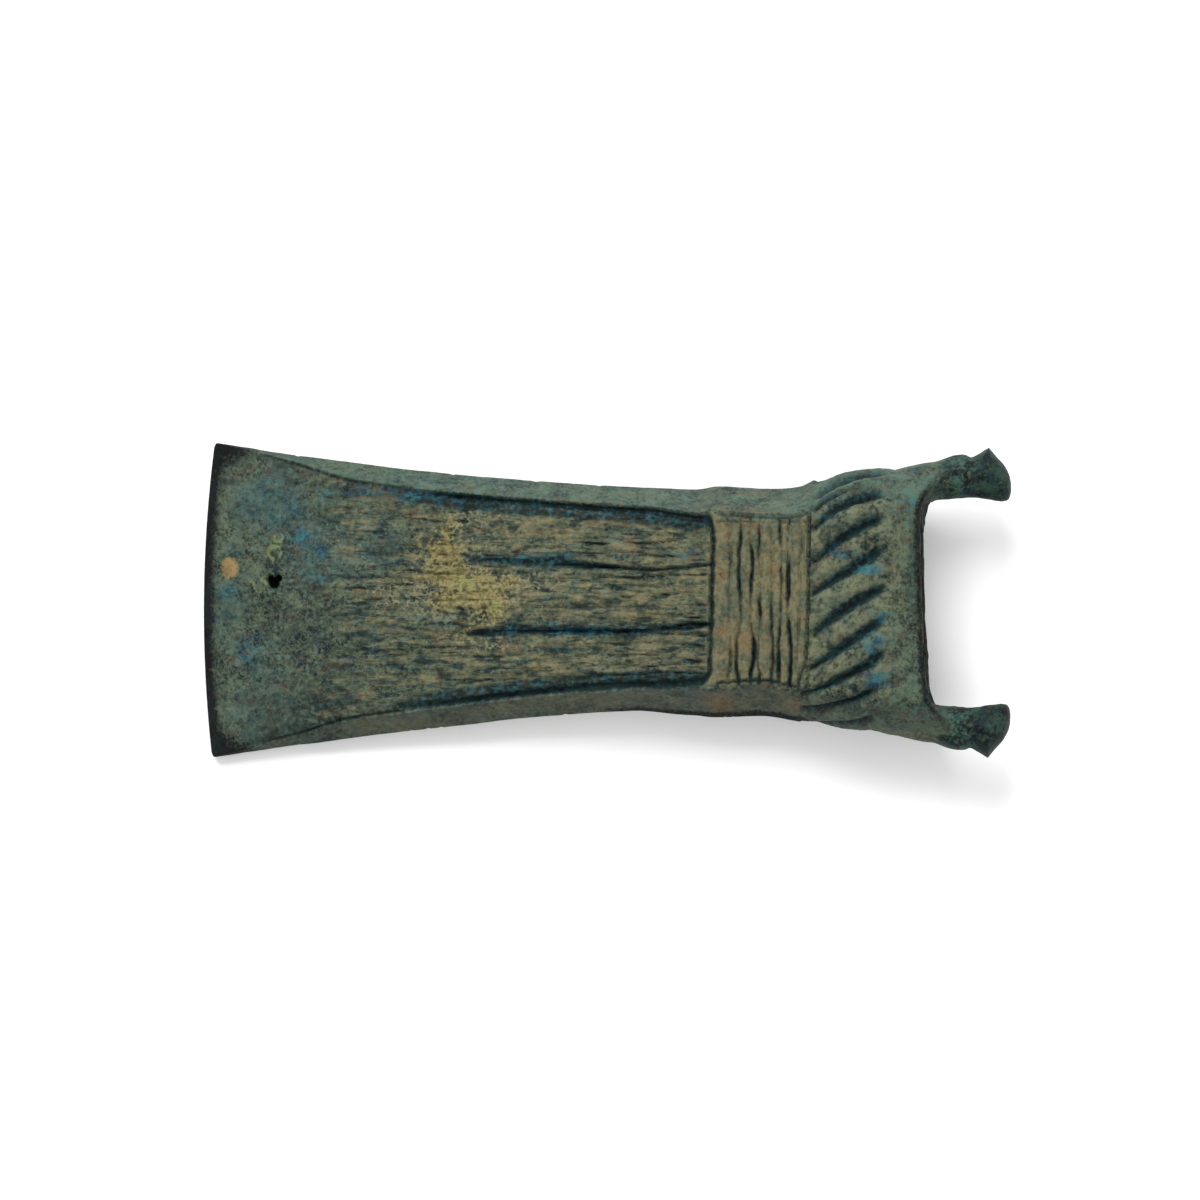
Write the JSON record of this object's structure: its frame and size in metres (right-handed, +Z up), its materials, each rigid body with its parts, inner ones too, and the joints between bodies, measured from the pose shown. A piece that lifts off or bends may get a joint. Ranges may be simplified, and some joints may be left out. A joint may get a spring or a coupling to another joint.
{
  "type": "socketed bronze axe head",
  "caption": "Cast bronze socketed axe head with a flared wedge blade, grooved panel, corded band, rope-like collar and horns with flared ends beside the haft socket.",
  "frame": {"origin": "on the ground under the middle of the lying axe head, at the bottom centre of its bounding box", "axes": "+X from the cutting edge towards the socket's mouth and the horns, +Y across the blade, +Z up out of the broad face that faces away from the ground"},
  "size_m": [0.1498, 0.0582, 0.0222],
  "materials": {
    "bronze_patina": "aged dark green and grey patina with ochre and turquoise patches, mostly matte with a soft sheen"
  },
  "bodies": {
    "root": {"axe_head": "bronze_patina"}
  },
  "joints": []
}
